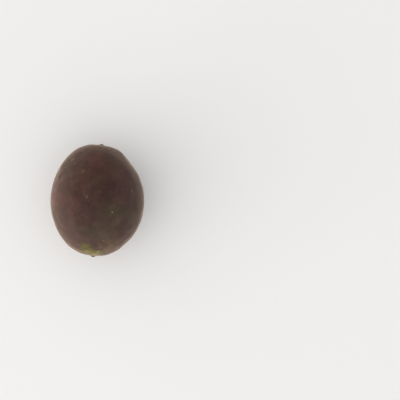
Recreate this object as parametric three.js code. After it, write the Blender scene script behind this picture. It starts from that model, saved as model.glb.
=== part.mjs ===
// A ripe purple passion fruit, whole, lying on its side.
// Millimetres, +Z up. The long axis runs along Y, with the stem scar at the -Y end and the dried
// style point at the +Y end. The fruit grew as one piece, so it is one closed solid: an egg-shaped
// body with low shoulders, a corky collar where the stalk broke off, and a small flat rest spot.
import * as THREE from "three";
import { mergeVertices } from "three/addons/utils/BufferGeometryUtils.js";

// The body before its shoulders: across, along and upright.
const width = 48.3;
const length = 58.0;
const height = 47.0;

// The line from stem to style leans this far towards +X from the long axis.
const axisLean = THREE.MathUtils.degToRad(5.2);

// Three seams of the seed chamber show as faint lobes along the fruit.
const lobeHeight = 0.25;

// The fruit sits on a flat spot this deep, measured up from the lowest point of the round skin.
const restDepth = 0.35;

// The mesh: steps round the axis, steps along it, and how strongly the rows crowd to both ends.
const stepsAround = 60;
const stepsAlong = 60;
const crowding = 0.85;

// The ends. A dimple is as deep as the skin sinks round the scar or the point.
const stemEnd = {
  dimpleDepth: 0.5,
  dimpleRadius: 4.6,
  collarHeight: 0.75, // above the floor of the dimple
  collarRadius: 0.95,
  collarLobes: 5, // one for each sepal that has dropped off
  collarScallop: 0.09, // share of the radius
  collarEdge: 5, // a higher power gives a sharper edge
  pitDepth: 0.35,
  pitRadius: 0.42,
};
const styleEnd = {
  dimpleDepth: 0.4,
  dimpleRadius: 5.6,
  pointHeight: 0.8,
  pointRadius: 1.0,
};

// Shoulders and flats of the body. Each one is centred on a direction given by its angle from the
// style end and its angle round the long axis, where 0 is +X and 90 is up.
const swellings = [
  { fromStyle: 22, round: 180, spread: 0.3, rise: 0.75 }, // style shoulder, left
  { fromStyle: 22, round: 62, spread: 0.28, rise: 0.25 }, // style shoulder, upper
  { fromStyle: 22, round: 302, spread: 0.28, rise: 0.25 }, // style shoulder, lower
  { fromStyle: 28, round: 0, spread: 0.13, rise: 0.6 }, // small corner, right
  { fromStyle: 46, round: 0, spread: 0.24, rise: -0.35 }, // flat beside the corner
  { fromStyle: 70, round: 130, spread: 0.3, rise: -0.2 }, // flat, upper left
  { fromStyle: 105, round: 0, spread: 0.4, rise: 0.4 }, // belly, right
  { fromStyle: 118, round: 180, spread: 0.3, rise: 0.25 }, // belly, left
  { fromStyle: 120, round: 75, spread: 0.35, rise: 0.25 }, // belly, upper
  { fromStyle: 140, round: 0, spread: 0.3, rise: -0.65 }, // flat, right of the stem
  { fromStyle: 150, round: 230, spread: 0.25, rise: 0.3 }, // stem shoulder, lower
  { fromStyle: 153, round: 180, spread: 0.25, rise: 0.15 }, // stem shoulder, left
];

const zAxis = new THREE.Vector3(0, 0, 1);

// A point of the unit sphere, from its angle from the style end (+Y) and its angle round the axis.
function direction(fromStyle, round) {
  return new THREE.Vector3(
    Math.sin(fromStyle) * Math.cos(round),
    Math.cos(fromStyle),
    Math.sin(fromStyle) * Math.sin(round),
  );
}

const swellingsToAdd = swellings.map((s) => ({
  centre: direction(THREE.MathUtils.degToRad(s.fromStyle), THREE.MathUtils.degToRad(s.round)),
  spread: s.spread,
  rise: s.rise,
}));

// Crowds evenly spaced angles, 0 to pi, towards both ends.
function crowded(angle) {
  return angle - (crowding * Math.sin(2 * angle)) / 2;
}

// A rounded dome of the given radius, 1 at the middle.
function dome(distance, radius) {
  return Math.exp(-((distance / radius) ** 2));
}

// Relief of the stem end: a dimple, a flat-topped collar with faint lobes, and a pit in its middle.
function stemRelief(distance, round) {
  const lobes = 1 + stemEnd.collarScallop * Math.cos(stemEnd.collarLobes * round);
  const toEdge = distance / (stemEnd.collarRadius * lobes);
  const collar = stemEnd.collarHeight / (1 + toEdge ** stemEnd.collarEdge);
  const pit = stemEnd.pitDepth * dome(distance, stemEnd.pitRadius);
  return collar - pit - stemEnd.dimpleDepth * dome(distance, stemEnd.dimpleRadius);
}

// Relief of the style end: a shallow dimple with a blunt point in it.
function styleRelief(distance) {
  const point = styleEnd.pointHeight * dome(distance, styleEnd.pointRadius);
  return point - styleEnd.dimpleDepth * dome(distance, styleEnd.dimpleRadius);
}

// A point of the skin. The ellipsoid's own point moves out along its normal by the lobes, the
// swellings and the relief of the ends.
function skinPoint(fromStyle, round) {
  const way = direction(fromStyle, round).applyAxisAngle(zAxis, -axisLean);
  const half = new THREE.Vector3(width / 2, length / 2, height / 2);
  const point = way.clone().multiply(half);
  const normal = way.clone().divide(half).normalize();
  let out = -lobeHeight * Math.sin(3 * round) * Math.sin(fromStyle) ** 2;
  for (const s of swellingsToAdd) out += s.rise * Math.exp((way.dot(s.centre) - 1) / s.spread ** 2);
  const fromAxis = (Math.sin(fromStyle) * width) / 2;
  out += Math.cos(fromStyle) > 0 ? styleRelief(fromAxis) : stemRelief(fromAxis, round);
  return point.addScaledVector(normal, out);
}

// The whole skin as one closed surface, shaped from a sphere whose poles are the fruit's two ends,
// then set down on its flat spot with the middle of its box over the origin.
function fruitGeometry() {
  const sphere = new THREE.SphereGeometry(1, stepsAround, stepsAlong);
  sphere.deleteAttribute("normal");
  sphere.deleteAttribute("uv");
  const geometry = mergeVertices(sphere, 1e-5);
  const position = geometry.getAttribute("position");
  const vertex = new THREE.Vector3();
  for (let i = 0; i < position.count; i++) {
    vertex.fromBufferAttribute(position, i);
    const fromStyle = crowded(Math.acos(THREE.MathUtils.clamp(vertex.y, -1, 1)));
    const skin = skinPoint(fromStyle, Math.atan2(vertex.z, vertex.x));
    position.setXYZ(i, skin.x, skin.y, skin.z);
  }
  geometry.computeBoundingBox();
  const box = geometry.boundingBox;
  const middle = box.getCenter(new THREE.Vector3());
  geometry.translate(-middle.x, -middle.y, -box.min.z - restDepth);
  for (let i = 0; i < position.count; i++) {
    position.setZ(i, Math.max(0, position.getZ(i)));
  }
  geometry.computeVertexNormals();
  return geometry;
}

const rind = new THREE.MeshStandardMaterial({ color: 0x4b3632, roughness: 0.5, metalness: 0 });

const fruit = new THREE.Mesh(fruitGeometry(), rind);
fruit.name = "fruit";

const passionFruit = new THREE.Group();
passionFruit.add(fruit);

export default passionFruit;
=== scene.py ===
import math

import bpy
import numpy as np
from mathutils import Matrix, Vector


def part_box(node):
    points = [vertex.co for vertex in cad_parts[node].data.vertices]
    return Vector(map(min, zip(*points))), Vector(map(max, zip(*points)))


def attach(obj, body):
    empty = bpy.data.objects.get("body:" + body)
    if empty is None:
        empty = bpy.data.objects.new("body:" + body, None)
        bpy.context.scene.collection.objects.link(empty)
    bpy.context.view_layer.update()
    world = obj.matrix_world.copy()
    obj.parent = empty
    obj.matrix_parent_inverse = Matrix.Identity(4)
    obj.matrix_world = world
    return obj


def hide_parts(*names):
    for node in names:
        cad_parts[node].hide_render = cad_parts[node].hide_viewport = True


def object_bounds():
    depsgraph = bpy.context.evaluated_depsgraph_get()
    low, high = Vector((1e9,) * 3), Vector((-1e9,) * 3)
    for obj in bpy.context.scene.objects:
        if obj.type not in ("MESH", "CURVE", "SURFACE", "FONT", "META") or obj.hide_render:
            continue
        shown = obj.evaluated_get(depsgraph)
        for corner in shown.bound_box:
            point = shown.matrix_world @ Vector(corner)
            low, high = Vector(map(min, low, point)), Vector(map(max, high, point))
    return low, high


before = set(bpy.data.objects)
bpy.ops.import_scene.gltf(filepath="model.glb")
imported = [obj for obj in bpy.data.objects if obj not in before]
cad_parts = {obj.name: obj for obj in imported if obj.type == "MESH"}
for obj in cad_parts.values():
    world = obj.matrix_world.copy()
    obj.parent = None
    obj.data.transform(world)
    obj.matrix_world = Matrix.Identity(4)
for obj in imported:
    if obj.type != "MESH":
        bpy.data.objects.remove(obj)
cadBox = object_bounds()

# A ripe purple passion fruit, whole, lying on its side with its stem scar at -Y and its style point
# at +Y. The skin is one closed surface worked out in millimetres and stored in metres.
metresPerMm = 0.001

# How the photograph was taken: straight down, with the fruit left of the middle of the picture.
photograph = {
    "side": 400,  # pixels
    "mmPerPixel": 0.52,
    "fruitPixel": (97.30, 200.50),  # over the point the fruit rests on
    "cameraHeight": 900.0,  # mm above the fruit's middle
    "sensor": 36.0,  # mm
}


def linear(hexColour):
    # sRGB hex to linear RGBA: a power curve with a short straight toe.
    values = [int(hexColour[i : i + 2], 16) / 255 for i in (1, 3, 5)]
    return tuple(v / 12.92 if v < 0.04045 else ((v + 0.055) / 1.055) ** 2.4 for v in values) + (1.0,)


def addNode(tree, kind, inputs=None, **settings):
    # Adds a node with its settings. An input is a value, or the output of a node that it links to.
    made = tree.nodes.new(kind)
    for name, value in settings.items():
        setattr(made, name, value)
    for socket, value in (inputs or {}).items():
        if isinstance(value, bpy.types.NodeSocket):
            tree.links.new(value, made.inputs[socket])
        else:
            made.inputs[socket].default_value = value
    return made


def photoPoint(pixel):
    # The place in mm, across and along, that a pixel of the photograph shows at mid height.
    across = (pixel[0] - photograph["fruitPixel"][0]) * photograph["mmPerPixel"]
    along = (photograph["fruitPixel"][1] - pixel[1]) * photograph["mmPerPixel"]
    return np.array([across, along])


def skinUnderPixel(points, pixel):
    # The point of the upper skin that a pixel shows. A point above mid height is seen further from
    # the picture's middle, by the camera's height over its own distance to the point.
    middle = (points[:, 2].min() + points[:, 2].max()) / 2
    upper = points[points[:, 2] > middle]
    picture = photoPoint((photograph["side"] / 2,) * 2)
    nearer = photograph["cameraHeight"] / (photograph["cameraHeight"] - (upper[:, 2] - middle))
    seen = picture + (upper[:, :2] - picture) * nearer[:, None]
    return upper[np.argmin(((seen - photoPoint(pixel)) ** 2).sum(1))]


def skinTowards(points, fromStyle, around):
    # The point of the skin that lies furthest in a direction from its middle, given in degrees.
    ways = points - (points.min(0) + points.max(0)) / 2
    ways /= np.linalg.norm(ways, axis=1, keepdims=True)
    return points[np.argmax(ways @ direction(math.radians(fromStyle), math.radians(around)))]


# The skin's shape in mm, with the solid's own driving sizes and a finer mesh and relief.
skinShape = {
    "width": 48.3,
    "length": 58.0,
    "height": 47.0,
    "axisLean": 5.2,  # degrees towards +X at the style end
    "lobeHeight": 0.25,
    "restDepth": 0.35,
    "stepsAround": 328,
    "stepsAlong": 300,
    "crowding": 0.75,  # how strongly the rows crowd to both ends
    "smoothEnds": 2.5,  # the unevenness fades within this radius of both ends
    # Shoulders and flats: degrees from the style end, degrees round the axis, spread, rise.
    "swellings": [
        (22, 180, 0.30, 0.75),  # style shoulder, left
        (22, 62, 0.28, 0.25),  # style shoulder, upper
        (22, 302, 0.28, 0.25),  # style shoulder, lower
        (28, 0, 0.13, 0.60),  # small corner, right
        (46, 0, 0.24, -0.35),  # flat beside the corner
        (70, 130, 0.30, -0.20),  # flat, upper left
        (105, 0, 0.40, 0.40),  # belly, right
        (118, 180, 0.30, 0.25),  # belly, left
        (120, 75, 0.35, 0.25),  # belly, upper
        (140, 0, 0.30, -0.65),  # flat, right of the stem
        (150, 230, 0.25, 0.30),  # stem shoulder, lower
        (153, 180, 0.25, 0.15),  # stem shoulder, left
    ],
    # Unevenness of the skin: wavelength, height, waves, seed.
    "unevenness": [
        (21.0, 0.070, 40, 11),  # gentle sway of the whole rind
        (6.5, 0.038, 60, 12),  # shallow dimples
        (2.3, 0.012, 80, 13),  # leathery pebbling
    ],
}

stemEnd = {
    "dimpleDepth": 0.5,
    "dimpleRadius": 4.6,
    "collarHeight": 0.75,
    "collarRadius": 0.95,
    "collarLobes": 5,  # one for each sepal that has dropped off
    "collarScallop": 0.09,
    "collarEdge": 5,
    "breakTilt": 0.22,  # how much higher one side of the broken edge is, as a share of the height
    "breakTurn": 0.6,  # radians round the axis; the higher side lies a quarter turn past it
    "pitDepth": 0.35,
    "pitRadius": 0.42,
    "fibres": 17,  # ribs down the collar's side
    "fibreHeight": 0.04,
    "fibreReach": 0.35,  # to both sides of the collar's edge, in collar radii
    "corkGrain": (0.45, 0.045, 60, 21),  # wavelength, height, waves, seed
    "puckers": 11,  # faint folds of the skin round the collar
    "puckerSway": 2.0,  # how unevenly they are spaced
    "puckerHeight": 0.05,
    "puckerReach": 4.2,
}

styleEnd = {
    "dimpleDepth": 0.4,
    "dimpleRadius": 5.6,
    "pointHeight": 0.8,
    "pointRadius": 1.0,
    "pointLobes": 3,
    "pointScallop": 0.12,
    "tipPitDepth": 0.22,
    "tipPitRadius": 0.28,
    "puckers": 6,
    "puckerSway": 1.5,
    "puckerHeight": 0.045,
    "puckerReach": 3.6,
    "corkGrain": (0.5, 0.022, 60, 22),
}


def randomWaves(points, wavelength, count, seed):
    # A smooth random field of unit variance: a sum of cosines that run in random directions, with
    # wavelengths within a quarter of the given one.
    draw = np.random.default_rng(seed)
    ways = draw.normal(size=(count, 3))
    ways /= np.linalg.norm(ways, axis=1, keepdims=True)
    waveNumbers = 2 * np.pi / (wavelength * draw.uniform(0.75, 1.25, count))
    phases = draw.uniform(0, 2 * np.pi, count)
    field = np.zeros(len(points))
    for way, waveNumber, phase in zip(ways, waveNumbers, phases):
        field += np.cos(points @ (way * waveNumber) + phase)
    return field * math.sqrt(2 / count)


def direction(fromStyle, around):
    # The unit direction at an angle from the style end (+Y) and an angle round the long axis, where
    # 0 is +X and a quarter turn is up.
    sine = np.sin(fromStyle)
    return np.stack([sine * np.cos(around), np.cos(fromStyle), sine * np.sin(around)], axis=-1)


def dome(distance, radius):
    # A rounded dome: e to the minus square of the distance in radii.
    return np.exp(-((distance / radius) ** 2))


def stemRelief(distance, around, grain):
    # A dimple, a collar broken off aslant whose edge is scalloped by five lobes and ribbed by fibres,
    # a pit in its middle, cork grain all over it, and faint folds of the skin that die away outwards.
    lobes = 1 + stemEnd["collarScallop"] * np.cos(stemEnd["collarLobes"] * around)
    toEdge = distance / (stemEnd["collarRadius"] * lobes)
    share = 1 / (1 + toEdge ** stemEnd["collarEdge"])
    tilt = 1 + stemEnd["breakTilt"] * np.minimum(toEdge, 1) * np.sin(around - stemEnd["breakTurn"])
    collar = share * stemEnd["collarHeight"] * tilt
    side = dome(toEdge - 1, stemEnd["fibreReach"])
    fibres = side * stemEnd["fibreHeight"] * np.cos(stemEnd["fibres"] * around)
    pit = stemEnd["pitDepth"] * dome(distance, stemEnd["pitRadius"])
    sway = stemEnd["puckerSway"] * np.sin(2 * around)
    folds = stemEnd["puckerHeight"] * np.cos(stemEnd["puckers"] * around + sway)
    folds *= dome(distance, stemEnd["puckerReach"]) * (1 - share)
    dimple = stemEnd["dimpleDepth"] * dome(distance, stemEnd["dimpleRadius"])
    relief = collar - pit - dimple + fibres + folds
    relief += stemEnd["corkGrain"][1] * grain * np.maximum(share, side)
    return relief, toEdge


def styleRelief(distance, around, grain):
    # A shallow dimple, a blunt point of three faint lobes with a tiny pit where the style broke off,
    # and faint folds.
    lobes = 1 + styleEnd["pointScallop"] * np.cos(styleEnd["pointLobes"] * around)
    rise = dome(distance, styleEnd["pointRadius"] * lobes)
    point = styleEnd["pointHeight"] * rise
    pit = styleEnd["tipPitDepth"] * dome(distance, styleEnd["tipPitRadius"])
    sway = styleEnd["puckerSway"] * np.sin(around)
    folds = styleEnd["puckerHeight"] * np.cos(styleEnd["puckers"] * around + sway)
    folds *= dome(distance, styleEnd["puckerReach"]) * (1 - rise)
    folds *= 1 - dome(distance, styleEnd["pointRadius"] / 3)  # none on the very tip
    dimple = styleEnd["dimpleDepth"] * dome(distance, styleEnd["dimpleRadius"])
    return point - pit - dimple + folds + styleEnd["corkGrain"][1] * grain * rise


farFromEnds = 99.0  # stands in for the distance from an end, on the other half of the fruit


def skinPoints(fromStyle, around):
    # Points of the skin in mm, before it is set down. The ellipsoid's own point moves out along its
    # normal by the lobes, the swellings, the relief of the ends and the unevenness of the rind.
    shape = skinShape
    lean = math.radians(shape["axisLean"])
    turn = np.array([
        [math.cos(lean), math.sin(lean), 0],
        [-math.sin(lean), math.cos(lean), 0],
        [0, 0, 1],
    ])
    way = direction(fromStyle, around) @ turn.T
    half = np.array([shape["width"], shape["length"], shape["height"]]) / 2
    point = way * half
    normal = way / half
    normal /= np.linalg.norm(normal, axis=1, keepdims=True)
    out = -shape["lobeHeight"] * np.sin(3 * around) * np.sin(fromStyle) ** 2
    for centreFrom, centreAround, spread, rise in shape["swellings"]:
        centre = direction(math.radians(centreFrom), math.radians(centreAround))
        out += rise * np.exp((way @ centre - 1) / spread**2)
    distance = np.sin(fromStyle) * shape["width"] / 2
    atStyle = np.cos(fromStyle) > 0
    wavelength, _, count, seed = stemEnd["corkGrain"]
    atStem, toEdge = stemRelief(distance, around, randomWaves(point, wavelength, count, seed))
    wavelength, _, count, seed = styleEnd["corkGrain"]
    atPoint = styleRelief(distance, around, randomWaves(point, wavelength, count, seed))
    out += np.where(atStyle, atPoint, atStem)
    away = 1 - dome(distance, shape["smoothEnds"])  # the ends have a grain of their own
    for wavelength, height, count, seed in shape["unevenness"]:
        out += away * height * randomWaves(point, wavelength, count, seed)
    marks = {
        "stemEdge": np.where(atStyle, farFromEnds, toEdge),
        "styleDistance": np.where(atStyle, distance, farFromEnds),
    }
    return point + normal * out[:, None], marks


def closedGrid(stepsAround, stepsAlong):
    # Faces of a sphere-like grid: a point at each pole, rows between them, and columns that meet
    # round the back. Corners run so that the faces point outwards.
    rows = np.arange(stepsAlong - 1)[:, None] * stepsAround + 1
    columns = np.arange(stepsAround)[None, :]
    nextColumns = (columns + 1) % stepsAround
    upper, lower = rows[:-1], rows[1:]
    quads = np.stack([upper + columns, upper + nextColumns, lower + nextColumns, lower + columns], -1)
    last = rows[-1, 0] + stepsAround
    first = np.stack([np.zeros(stepsAround, int), (rows[0] + nextColumns)[0], (rows[0] + columns)[0]], -1)
    end = np.stack([np.full(stepsAround, last), (rows[-1] + columns)[0], (rows[-1] + nextColumns)[0]], -1)
    return quads.reshape(-1, 4).tolist() + first.tolist() + end.tolist()


def blushField(points):
    # How green the skin has stayed: a sum of soft domes, e to the minus square of the distance in
    # radii, from a point bent by slow random waves. Each dome sits on the stem half's skin at its
    # place across and up from the scar.
    stemHalf = points[points[:, 1] < 0]
    scar = points[-1]
    wavelength, reach, count, seed = rindFinish["blushWarp"]
    warp = [randomWaves(points, wavelength, count, seed + axis) for axis in range(3)]
    warped = points + reach * np.stack(warp, axis=1)
    field = np.zeros(len(points))
    for across, up, radius, strength in rindFinish["blushDomes"]:
        aside = stemHalf[:, [0, 2]] - scar[[0, 2]] - (across, up)
        centre = stemHalf[np.argmin((aside**2).sum(1))]
        field += strength * dome(np.linalg.norm(warped - centre, axis=1), radius)
    return field


def makeSkin():
    shape = skinShape
    angles = np.linspace(0, math.pi, shape["stepsAlong"] + 1)
    angles -= shape["crowding"] * np.sin(2 * angles) / 2
    turns = np.arange(shape["stepsAround"]) * 2 * math.pi / shape["stepsAround"]
    fromStyle = np.concatenate([[0], np.repeat(angles[1:-1], len(turns)), [math.pi]])
    around = np.concatenate([[0], np.tile(turns, len(angles) - 2), [0]])
    points, marks = skinPoints(fromStyle, around)
    low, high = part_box("fruit")
    middle = np.array((low + high) / 2) / metresPerMm
    points[:, :2] += middle[:2] - (points.min(0) + points.max(0))[:2] / 2
    points[:, 2] += low.z / metresPerMm - points[:, 2].min() - shape["restDepth"]
    points[:, 2] = np.maximum(points[:, 2], low.z / metresPerMm)
    marks["blush"] = blushField(points)
    mesh = bpy.data.meshes.new("passionFruitSkin")
    faces = closedGrid(shape["stepsAround"], shape["stepsAlong"])
    mesh.from_pydata((points * metresPerMm).tolist(), [], faces)
    for name, values in marks.items():
        mesh.attributes.new(name, "FLOAT", "POINT").data.foreach_set("value", values.astype(np.float32))
    mesh.shade_smooth()
    skin = bpy.data.objects.new("passionFruitSkin", mesh)
    bpy.context.scene.collection.objects.link(skin)
    return skin, points


# What the rind looks like. Sizes are in mm, and pixels are those of the photograph.
rindFinish = {
    "plum": "#432c29",
    "umber": "#443027",
    "oliveGrey": "#40362b",
    "zoneSize": 24.0,  # broad zones, about half the fruit across
    "zonePick": 3.7,  # which part of the endless pattern falls on the fruit
    "zoneSplit": (0.34, 0.50, 0.70),  # where the pattern is umber, plum and olive grey
    "patchSize": 4.0,  # soft patches that fray the zones
    "breakUpSize": 0.9,  # fine break-up that frays the marks
    "mottleSize": 3.4,  # cloudy mottling
    "mottle": (0.84, 1.18),  # darkest and palest, as shares of the colour
    "grainSize": 0.55,  # dusty grain
    "grain": (0.86, 1.16),
    # Pale breathing pores and dark freckles, at their real size, which is finer than a pixel.
    "pores": {"spacing": 1.25, "radius": 0.24, "colour": "#84705d", "shown": 0.75, "strength": 0.55},
    "freckles": {"spacing": 2.6, "radius": 0.36, "colour": "#271815", "shown": 0.45, "strength": 0.55},
    "roughness": (0.46, 0.60),
    "ior": 1.45,
    "specularLevel": 0.16,
    # The bloom is a sheen: it pales the skin where it is seen aslant.
    "sheenWeight": 0.60,
    "sheenRoughness": 0.35,
    "sheenTint": "#edd2b5",
    "leatherSize": 0.9,  # leathery pimples
    "leatherDepth": 0.034,
    "poreRise": 0.8,  # how far the pores stand out, as a share of the leather's depth
    "spotReach": 1.45,  # how far zones and marks reach, in radii
    "spotFray": 0.9,  # how much noise moves their edges, in radii
    # Soft zones of colour, painted shade and painted light: pixel, radius, colour, strength, width of the
    # soft edge in radii.
    "zones": [
        ((98, 162), 11.0, "#562e29", 0.45, 1.2),  # reddish, upper middle
        ((96, 155), 5.5, "#592c26", 0.34, 1.3),
        ((73, 193), 10.0, "#2c1811", 0.64, 1.3),  # painted shade, left of the middle, here and in the next zone: darker against the key light from the left
        ((65, 211), 8.0, "#2e1a13", 0.40, 1.3),
        ((75, 222), 14.0, "#301d12", 0.60, 1.3),  # painted shade, lower left, here and in the next zone: darker against the key light from the left
        ((90, 233), 8.0, "#2a2216", 0.64, 1.3),
        ((72, 206), 10.0, "#47211b", 0.50, 1.2),  # reddish, left middle
        ((79, 184), 7.0, "#3d1a15", 0.54, 1.2),  # reddish, between them
        ((66, 164), 9.0, "#26130d", 0.62, 1.2),  # painted shade, upper left rim
        ((76, 171), 7.0, "#341811", 0.36, 1.3),  # painted shade, below it
        ((85, 175), 6.0, "#3c170f", 0.28, 1.3),  # reddish, upper left of the middle
        ((83, 163), 5.0, "#48211a", 0.32, 1.3),
        ((62, 200), 5.5, "#51241c", 0.42, 1.3),  # reddish, left flank
        ((67, 234), 5.0, "#38231a", 0.36, 1.3),  # painted shade, lower on that flank
        ((72.5, 172), 4.5, "#594a2c", 0.36, 1.3),  # olive tint, upper left
        ((106, 190), 7.0, "#392526", 0.55, 1.2),  # purple, middle
        ((83, 207), 8.0, "#2c191a", 0.58, 1.2),  # purple, left of the middle
        ((107, 213), 10.0, "#463d2f", 0.60, 1.2),  # greenish grey, right of the middle
        ((115, 207), 7.5, "#51462f", 0.34, 1.3),  # more olive, upper right of it
        ((104, 233), 13.0, "#4c4233", 0.65, 1.2),  # greenish grey, towards the stem
        ((112, 245), 6.6, "#69593a", 0.60, 1.3),  # olive, right of the stem
        ((101, 245), 5.0, "#544634", 0.45, 1.2),  # olive, above the stem
        ((109, 156), 4.5, "#2f2320", 0.60, 1.2),  # grey violet, by the style end
        ((118, 175), 6.0, "#5c4238", 0.34, 1.3),  # painted light, right of the middle, here and in the next two zones: paler against the dimmer light from the right
        ((119, 198), 6.5, "#5c4138", 0.36, 1.3),
        ((118, 221), 6.0, "#554839", 0.30, 1.3),
        ((106.5, 250.5), 3.5, "#8a6a58", 0.28, 1.3),  # tan, by the blush's right end, partly a painted highlight of the lower rim
        ((61.5, 178), 3.5, "#7a5f54", 0.34, 1.3),  # painted light round the dark speck, from the left rim's light
        ((53, 198), 10.0, "#6b5147", 0.42, 1.3),  # painted light on the left flank, here and in the next zone: paler for the light on the left rim
        ((57, 184), 6.0, "#66514a", 0.42, 1.3),
    ],
    # Small marks, in the same form.
    "marks": [
        ((98.0, 251.7), 1.9, "#8f8052", 0.45, 1.2),  # yellow spot at the blush's edge
        ((84.3, 246.6), 2.5, "#453f18", 0.60, 1.2),  # deeper green in the blush
        ((92.1, 250.0), 1.9, "#474019", 0.50, 1.2),
        ((85.1, 248.3), 1.3, "#3a3418", 0.60, 0.9),  # dark olive core of the blush
        ((92.5, 243.2), 2.4, "#1f1a17", 0.72, 1.2),  # grey violet bruise above the blush
        ((95.8, 245.3), 2.2, "#1f1a17", 0.72, 1.2),
        ((59.8, 176.0), 2.2, "#2a1a15", 0.60, 1.2),  # dark speck, with a soft edge
        ((59.8, 176.0), 1.3, "#140c08", 0.90, 0.9),
        ((72.5, 159.4), 1.4, "#6a6040", 0.62, 1.0),  # pale olive spots, upper left
        ((74.8, 163.5), 1.0, "#645a3c", 0.50, 0.9),
        ((70.8, 175.5), 1.7, "#594d36", 0.38, 1.2),
        ((76.5, 158.5), 0.9, "#2b201b", 0.50, 0.8),  # dark specks among them
        ((79.0, 155.5), 0.8, "#2b201b", 0.45, 0.8),
        ((83.4, 171.6), 1.7, "#5d5030", 0.55, 0.9),  # pale olive spot
        ((86.4, 197.4), 0.7, "#7d6e60", 0.40, 0.6),  # pale dot
        ((83.5, 197.5), 1.5, "#38292a", 0.45, 0.9),  # the shade beside it
        ((112.8, 212.0), 0.8, "#80705c", 0.60, 0.6),  # pale dots, right of the middle
        ((116.4, 210.2), 0.6, "#6c604c", 0.50, 0.6),
        ((118.0, 216.4), 0.6, "#6c604c", 0.45, 0.6),
        ((103.3, 240.7), 0.5, "#7d7058", 0.40, 0.7),  # pale dots, towards the stem
        ((104.7, 249.3), 0.5, "#8a7d60", 0.40, 0.7),
        ((121.0, 246.2), 0.5, "#7d6f58", 0.40, 0.7),
        ((132.0, 190.4), 1.2, "#5f553a", 0.45, 0.9),  # faint olive spot
        ((122.4, 189.2), 0.6, "#6c5845", 0.50, 0.6),  # tan dots
        ((100.4, 192.2), 0.7, "#66544e", 0.40, 0.6),
        ((82.0, 214.0), 0.6, "#6b5842", 0.45, 0.6),
        ((114.0, 192.0), 0.9, "#2c1e1c", 0.50, 0.7),  # dark specks
        ((89.2, 226.0), 1.0, "#352d22", 0.55, 0.8),
        ((110.8, 156.0), 1.0, "#2d2426", 0.55, 0.8),
        ((138.0, 216.4), 0.8, "#1f1411", 0.60, 0.7),
    ],
    # The same for the sides that the photograph doesn't show, placed by degrees from the style end and
    # degrees round the axis, as in skinShape.
    "hiddenZones": [
        ((108, 12), 9.0, "#54302a", 0.40, 1.2),  # reddish
        ((75, 222), 11.0, "#4c2b26", 0.35, 1.2),
        ((60, 300), 10.0, "#43392c", 0.50, 1.2),  # greenish grey
        ((132, 250), 9.0, "#463c2d", 0.50, 1.2),
    ],
    "hiddenMarks": [
        ((62, 345), 1.5, "#5f5338", 0.45, 0.9),  # pale olive spots
        ((118, 322), 1.3, "#5c5036", 0.45, 0.9),
        ((84, 206), 1.4, "#5b4f38", 0.40, 0.9),
        ((70, 268), 1.3, "#5f5439", 0.40, 0.9),
        ((97, 338), 1.1, "#170e0a", 0.75, 0.6),  # dry dark specks
        ((128, 214), 0.9, "#1b110d", 0.75, 0.6),
        ((40, 250), 0.9, "#1b110d", 0.75, 0.6),
    ],
    # The blush round the stem scar: mm across and up from the scar, radius, strength.
    "blushDomes": [
        (0.0, 0.5, 4.2, 0.55),  # round the scar
        (-1.8, 5.6, 4.6, 0.50),  # up from it
        (2.4, 6.0, 3.6, 0.38),
        (-1.6, 8.4, 2.8, 0.40),
        (-3.6, 12.8, 2.4, 0.75),  # its two bright corners
        (0.3, 11.3, 2.4, 0.72),
        (3.7, 10.3, 2.2, 0.72),  # trailing off to the right
        (6.3, 8.8, 2.2, 0.50),
        (-5.6, 8.6, 2.6, 0.55),  # and to the left
        (-8.2, 3.6, 2.4, 0.34),
        (-4.6, -3.2, 3.4, 0.42),  # and below
        (5.4, -1.2, 3.0, 0.36),
        (1.2, -6.4, 2.6, 0.36),
        (0.3, 17.4, 1.8, 0.26),  # faint arc above the bruise
        (-3.8, 8.1, 1.9, 0.40),  # pale skin under the bright corners, here and in the next two domes, partly a painted highlight of the lower rim
        (-1.2, 8.0, 1.9, 0.36),
        (1.0, 8.0, 1.7, 0.30),
    ],
    "blushWarp": (6.5, 0.75, 40, 31),  # wavelength, reach, waves, seed: bends the outline
    # Its layers: field where each begins and is full, share of speckles, strength, colour.
    "blushLayers": [
        (0.12, 0.55, 0.3, 0.70, "#453f24"),  # olive fringe
        (0.42, 0.88, 1.1, 0.78, "#5a5423"),  # yellow green
        (0.90, 1.70, 1.1, 0.75, "#8a804c"),  # pale middle
    ],
    "blushBreakUp": (1.1, 0.9),  # shares of soft patches and of streaks
    "streaks": 2.2,  # how fine the streaks are that run out from the scar
    "streakAlong": 0.04,  # how little they read the distance along the fruit
    "cork": ("#3f2a14", "#87643c"),  # dark and pale cork of the collar
    "corkGrain": 0.35,
    "pith": "#21160e",
    "creaseShade": "#2e2617",  # painted shade in the fold at the foot of the collar
    "stylePoint": ("#483918", "#8b7c3e"),  # dark and pale parts of the dried point
    "styleHalo": "#4d4033",
    "styleTip": "#35251a",
    # Rings round both ends: share of noise, outer and inner radius, strength. The radii are in mm round
    # the style point, and in collar radii round the stem scar.
    "haloRing": (8.0, 8.5, 3.5, 0.45),
    "pointRing": (1.8, 2.3, 1.2, 0.80),
    "tipRing": (0.6, 0.75, 0.35, 0.60),
    "creaseRing": (1.2, 3.3, 2.1, 0.65),
    "corkRing": (0.7, 1.85, 1.45, 0.95),
    "pithRing": (0.4, 0.85, 0.45, 0.90),
}

noiseSpan = {"From Min": 0.3, "From Max": 0.7}  # nearly all of a noise's values lie between these

mixFactor, mixA, mixB, mixResult = 0, 6, 7, 2  # sockets of a Mix node that mixes colours


def layOver(tree, colour, tint, strength, value, start, full):
    # Lays a tint over a colour: none of it where the value is at start, its strength at full.
    mask = addNode(tree, "ShaderNodeMapRange", {
        "Value": value, "From Min": start, "From Max": full, "To Min": 0.0, "To Max": strength,
    }, interpolation_type="SMOOTHSTEP").outputs["Result"]
    mix = addNode(tree, "ShaderNodeMix", {mixFactor: mask, mixA: colour, mixB: tint}, data_type="RGBA")
    return mix.outputs[mixResult]


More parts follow.
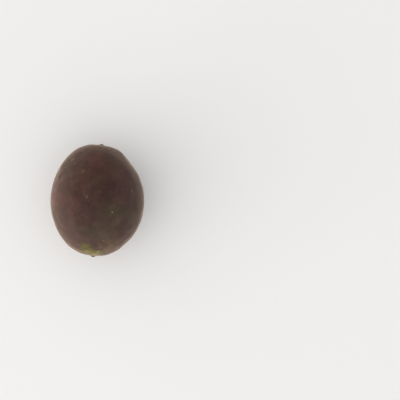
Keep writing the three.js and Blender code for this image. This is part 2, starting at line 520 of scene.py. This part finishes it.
def laySpots(tree, colour, inMm, noise, spots):
    # Lays round spots over a colour. The noise moves their edges by a share of their radius.
    reach, fray = rindFinish["spotReach"], rindFinish["spotFray"]
    for place, radius, tint, strength, edge in spots:
        distance = addNode(
            tree, "ShaderNodeVectorMath", {0: inMm, 1: tuple(place)}, operation="DISTANCE",
        ).outputs["Value"]
        uneven = addNode(
            tree, "ShaderNodeMath", {0: noise, 1: radius * fray, 2: distance}, operation="MULTIPLY_ADD",
        ).outputs[0]
        start, full = radius * reach, radius * (reach - edge)
        colour = layOver(tree, colour, linear(tint), strength, uneven, start, full)
    return colour


def makeRindMaterial(points):
    # Ripe passion fruit rind, grown and waxy: plum brown mottled with umber and olive, a dull grey
    # bloom that pales it at its rim, pale breathing pores, and a green blush round the corky scar.
    # Some zones are painted shade and some painted light, and the crease round the collar is painted
    # shade.
    finish = rindFinish
    material = bpy.data.materials.new("waxyPassionFruitRind")
    material.use_nodes = True
    tree = material.node_tree
    tree.nodes.clear()
    coordinates = addNode(tree, "ShaderNodeTexCoord")
    inMm = addNode(
        tree, "ShaderNodeVectorMath", {0: coordinates.outputs["Object"], 1: (1 / metresPerMm,) * 3},
        operation="MULTIPLY",
    ).outputs[0]
    stemEdge = addNode(tree, "ShaderNodeAttribute", attribute_name="stemEdge").outputs["Fac"]
    styleDistance = addNode(tree, "ShaderNodeAttribute", attribute_name="styleDistance").outputs["Fac"]

    # Broad zones of plum, umber and olive grey.
    zones = addNode(tree, "ShaderNodeTexNoise", {
        "Vector": inMm, "W": finish["zonePick"], "Scale": 1 / finish["zoneSize"], "Detail": 3.0,
        "Roughness": 0.55, "Distortion": 0.4,
    }, noise_dimensions="4D")
    ramp = addNode(tree, "ShaderNodeValToRGB", {"Fac": zones.outputs["Fac"]})
    umberAt, plumAt, oliveGreyAt = finish["zoneSplit"]
    ramp.color_ramp.elements[0].position = umberAt
    ramp.color_ramp.elements[0].color = linear(finish["umber"])
    ramp.color_ramp.elements[1].position = oliveGreyAt
    ramp.color_ramp.elements[1].color = linear(finish["oliveGrey"])
    ramp.color_ramp.elements.new(plumAt).color = linear(finish["plum"])
    colour = ramp.outputs["Color"]

    # Noises that several masks share: soft patches, fine break-up, and streaks that run out from the
    # stem scar, which read the direction from the scar and hardly the distance.
    patches = addNode(tree, "ShaderNodeTexNoise", {
        "Vector": inMm, "Scale": 1 / finish["patchSize"], "Detail": 4.0, "Roughness": 0.6,
    }).outputs["Fac"]
    breakUp = addNode(tree, "ShaderNodeTexNoise", {
        "Vector": inMm, "Scale": 1 / finish["breakUpSize"], "Detail": 2.0, "Roughness": 0.5,
    }).outputs["Fac"]
    scar = points[np.argmin(points[:, 1])]
    fromScar = addNode(
        tree, "ShaderNodeVectorMath", {0: inMm, 1: tuple(scar)}, operation="SUBTRACT",
    ).outputs[0]
    sideways = addNode(
        tree, "ShaderNodeVectorMath", {0: fromScar, 1: (1.0, finish["streakAlong"], 1.0)},
        operation="MULTIPLY",
    ).outputs[0]
    outwards = addNode(
        tree, "ShaderNodeVectorMath", {0: sideways}, operation="NORMALIZE",
    ).outputs[0]
    streaks = addNode(tree, "ShaderNodeTexNoise", {
        "Vector": outwards, "Scale": finish["streaks"], "Detail": 4.0, "Roughness": 0.65,
    }).outputs["Fac"]

    # Zones and marks: those that the photograph shows are laid on the skin under their pixels.
    zones = [(skinUnderPixel(points, pixel), *rest) for pixel, *rest in finish["zones"]]
    zones += [(skinTowards(points, *angles), *rest) for angles, *rest in finish["hiddenZones"]]
    marks = [(skinUnderPixel(points, pixel), *rest) for pixel, *rest in finish["marks"]]
    marks += [(skinTowards(points, *angles), *rest) for angles, *rest in finish["hiddenMarks"]]
    colour = laySpots(tree, colour, inMm, patches, zones)

    # The blush goes from olive to yellow green to pale as its field rises. Noise and streaks break it
    # up, so that its edge is ragged and plum speckles show through.
    blush = addNode(tree, "ShaderNodeAttribute", attribute_name="blush").outputs["Fac"]
    for noise, share in zip((patches, streaks), finish["blushBreakUp"]):
        blush = addNode(
            tree, "ShaderNodeMath", {0: noise, 1: share, 2: blush}, operation="MULTIPLY_ADD",
        ).outputs[0]
    average = sum(finish["blushBreakUp"]) / 2  # what the noises add on average
    for start, full, speckles, strength, tint in finish["blushLayers"]:
        level = addNode(
            tree, "ShaderNodeMath", {0: breakUp, 1: speckles, 2: blush}, operation="MULTIPLY_ADD",
        ).outputs[0]
        shift = average + speckles / 2
        colour = layOver(tree, colour, linear(tint), strength, level, start + shift, full + shift)
    colour = laySpots(tree, colour, inMm, breakUp, marks)

    # Cork of the scar, its pith, painted shade in the crease round it, and the dried style point: each is
    # a ring with an uneven edge.
    corkNoise = addNode(tree, "ShaderNodeTexNoise", {
        "Vector": inMm, "Scale": 1 / finish["corkGrain"], "Detail": 4.0, "Roughness": 0.7,
    }).outputs["Fac"]
    cork, stylePoint = [addNode(tree, "ShaderNodeMix", {
        mixFactor: corkNoise, mixA: linear(dark), mixB: linear(pale),
    }, data_type="RGBA").outputs[mixResult] for dark, pale in (finish["cork"], finish["stylePoint"])]
    rings = [
        (styleDistance, patches, "haloRing", linear(finish["styleHalo"])),
        (styleDistance, breakUp, "pointRing", stylePoint),
        (styleDistance, breakUp, "tipRing", linear(finish["styleTip"])),
        (stemEdge, breakUp, "creaseRing", linear(finish["creaseShade"])),
        (stemEdge, breakUp, "corkRing", cork),
        (stemEdge, breakUp, "pithRing", linear(finish["pith"])),
    ]
    for distance, noise, ring, tint in rings:
        shift, outer, inner, strength = finish[ring]
        uneven = addNode(
            tree, "ShaderNodeMath", {0: noise, 1: shift, 2: distance}, operation="MULTIPLY_ADD",
        ).outputs[0]
        colour = layOver(tree, colour, tint, strength, uneven, outer, inner)

    # Mottling and dusty grain make the colour darker and paler.
    for size, (dark, pale), detail in (
        (finish["mottleSize"], finish["mottle"], 3.0), (finish["grainSize"], finish["grain"], 2.0),
    ):
        noise = addNode(tree, "ShaderNodeTexNoise", {
            "Vector": inMm, "Scale": 1 / size, "Detail": detail, "Roughness": 0.55,
        })
        level = addNode(tree, "ShaderNodeMapRange", {
            "Value": noise.outputs["Fac"], "To Min": dark, "To Max": pale, **noiseSpan,
        }).outputs["Result"]
        colour = addNode(
            tree, "ShaderNodeVectorMath", {0: colour, "Scale": level}, operation="SCALE",
        ).outputs[0]

    # Pores and freckles: dots at the points of a Voronoi pattern, of random size, some left out.
    dots = []
    for dot in (finish["pores"], finish["freckles"]):
        reach = dot["radius"] / dot["spacing"]
        cells = addNode(tree, "ShaderNodeTexVoronoi", {"Vector": inMm, "Scale": 1 / dot["spacing"]})
        chance = addNode(tree, "ShaderNodeSeparateColor", {"Color": cells.outputs["Color"]})
        size = addNode(tree, "ShaderNodeMapRange", {
            "Value": chance.outputs["Green"], "To Min": 0.35 * reach, "To Max": reach,
        }).outputs["Result"]
        inside = addNode(
            tree, "ShaderNodeMath", {0: size, 1: cells.outputs["Distance"]}, operation="SUBTRACT",
        ).outputs[0]
        shown = addNode(
            tree, "ShaderNodeMath", {0: chance.outputs["Red"], 1: dot["shown"]}, operation="LESS_THAN",
        ).outputs[0]
        edge = addNode(tree, "ShaderNodeMapRange", {
            "Value": inside, "From Min": 0.0, "From Max": 0.5 * reach,
            "To Min": 0.0, "To Max": dot["strength"],
        }, interpolation_type="SMOOTHSTEP").outputs["Result"]
        mask = addNode(tree, "ShaderNodeMath", {0: edge, 1: shown}, operation="MULTIPLY").outputs[0]
        dots.append(mask)
        colour = addNode(
            tree, "ShaderNodeMix", {mixFactor: mask, mixA: colour, mixB: linear(dot["colour"])},
            data_type="RGBA",
        ).outputs[mixResult]

    # Roughness varies with the bloom, and the relief is leathery with the pores standing proud.
    roughness = addNode(tree, "ShaderNodeMapRange", {
        "Value": patches, "To Min": finish["roughness"][0], "To Max": finish["roughness"][1],
        **noiseSpan,
    }).outputs["Result"]
    leather = addNode(tree, "ShaderNodeTexNoise", {
        "Vector": inMm, "Scale": 1 / finish["leatherSize"], "Detail": 3.0, "Roughness": 0.6,
    })
    relief = addNode(
        tree, "ShaderNodeMath", {0: dots[0], 1: finish["poreRise"], 2: leather.outputs["Fac"]},
        operation="MULTIPLY_ADD",
    ).outputs[0]
    bump = addNode(tree, "ShaderNodeBump", {
        "Height": relief, "Strength": 1.0, "Distance": finish["leatherDepth"] * metresPerMm,
    })
    shader = addNode(tree, "ShaderNodeBsdfPrincipled", {
        "Base Color": colour, "Roughness": roughness, "Normal": bump.outputs["Normal"],
        "IOR": finish["ior"], "Specular IOR Level": finish["specularLevel"],
        "Sheen Weight": finish["sheenWeight"],
        "Sheen Roughness": finish["sheenRoughness"], "Sheen Tint": linear(finish["sheenTint"]),
    })
    addNode(tree, "ShaderNodeOutputMaterial", {"Surface": shader.outputs["BSDF"]})
    return material


# The studio: a pale matt floor and soft light, strongest from the lower left of the picture.
studio = {
    "floorSide": 6.0,  # metres
    "floorColour": "#f4f3f2",
    "floorRoughness": 0.9,
    "skyColour": "#ffffff",
    "wallStrength": 1.9,  # of the bright walls round the table
    "ceilingStrength": 0.78,  # of the dim ceiling, where the camera hangs
    "wallTop": 0.28,  # the walls fade from this sine of the elevation
    "ceilingEdge": 0.44,  # to this one
    "brightSide": (-0.80, -0.60, 0.0),  # the light is strongest from here, weakest from opposite
    "brightShare": 1.48,
    "dimShare": 0.50,
    "lights": {  # place and size in metres, power in watts
        "keyFromLeft": {
            "place": (-0.86, -0.40, 0.14), "size": (1.1, 0.25), "power": 5.0, "tint": "#fff6ee",
        },
    },
}


def makeStudio():
    half = studio["floorSide"] / 2
    mesh = bpy.data.meshes.new("studioFloor")
    corners = [(-half, -half, 0), (half, -half, 0), (half, half, 0), (-half, half, 0)]
    mesh.from_pydata(corners, [], [(0, 1, 2, 3)])
    floor = bpy.data.objects.new("studioFloor", mesh)
    bpy.context.scene.collection.objects.link(floor)
    # Matt pale card, so that the fruit's shadow stays soft and nothing mirrors in the floor.
    card = bpy.data.materials.new("mattPaleCard")
    card.use_nodes = True
    shader = card.node_tree.nodes["Principled BSDF"]
    shader.inputs["Base Color"].default_value = linear(studio["floorColour"])
    shader.inputs["Roughness"].default_value = studio["floorRoughness"]
    mesh.materials.append(card)

    world = bpy.data.worlds.new("studioSky")
    world.use_nodes = True
    # Bright walls and a dim ceiling, with more light from one side than from the other.
    tree = world.node_tree
    way = addNode(tree, "ShaderNodeTexCoord").outputs["Generated"]
    height = addNode(tree, "ShaderNodeMapRange", {
        "Value": addNode(tree, "ShaderNodeSeparateXYZ", {0: way}).outputs["Z"],
        "From Min": studio["wallTop"], "From Max": studio["ceilingEdge"],
        "To Min": studio["wallStrength"], "To Max": studio["ceilingStrength"],
    }, interpolation_type="SMOOTHSTEP").outputs["Result"]
    towards = addNode(
        tree, "ShaderNodeVectorMath", {0: way, 1: studio["brightSide"]}, operation="DOT_PRODUCT",
    ).outputs["Value"]
    side = addNode(tree, "ShaderNodeMapRange", {
        "Value": towards, "From Min": -1.0, "From Max": 1.0,
        "To Min": studio["dimShare"], "To Max": studio["brightShare"],
    }).outputs["Result"]
    strength = addNode(tree, "ShaderNodeMath", {0: height, 1: side}, operation="MULTIPLY").outputs[0]
    tree.links.new(strength, tree.nodes["Background"].inputs["Strength"])
    tree.nodes["Background"].inputs["Color"].default_value = linear(studio["skyColour"])
    bpy.context.scene.world = world

    for name, facts in studio["lights"].items():
        light = bpy.data.lights.new(name, "AREA")
        light.shape = "RECTANGLE"
        light.size, light.size_y = facts["size"]
        light.energy = facts["power"]
        light.color = linear(facts["tint"])[:3]
        lamp = bpy.data.objects.new(name, light)
        lamp.location = facts["place"]
        target = (cadBox[0] + cadBox[1]) / 2
        lamp.rotation_mode = "QUATERNION"
        lamp.rotation_quaternion = (target - lamp.location).to_track_quat("-Z", "Y")
        bpy.context.scene.collection.objects.link(lamp)


def makeCamera():
    # Straight above the middle of the picture, with the lens that gives the photograph's scale at the
    # fruit's middle: sensor times distance, over the width that the picture shows there.
    camera = bpy.data.cameras.new("photographCamera")
    middle = photograph["side"] / 2
    across, along = photoPoint((middle, middle))
    widthShown = photograph["side"] * photograph["mmPerPixel"]
    camera.sensor_width = photograph["sensor"]
    camera.lens = photograph["sensor"] * photograph["cameraHeight"] / widthShown
    holder = bpy.data.objects.new("photographCamera", camera)
    fruitMiddle = (cadBox[0] + cadBox[1]) / 2
    above = photograph["cameraHeight"] * metresPerMm
    holder.location = Vector((across * metresPerMm, along * metresPerMm, fruitMiddle.z + above))
    camera.clip_end = 100
    bpy.context.scene.collection.objects.link(holder)
    bpy.context.scene.camera = holder


makeCamera()
print("camera placed")
skin, skinMm = makeSkin()
print("skin made:", len(skin.data.vertices), "points")
skin.data.materials.append(makeRindMaterial(skinMm))
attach(skin, "root")
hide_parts("fruit")
print("rind finished")
makeStudio()
bpy.context.scene.view_settings.view_transform = "Standard"  # a plain curve, so that colours stay as given
print("studio lit")
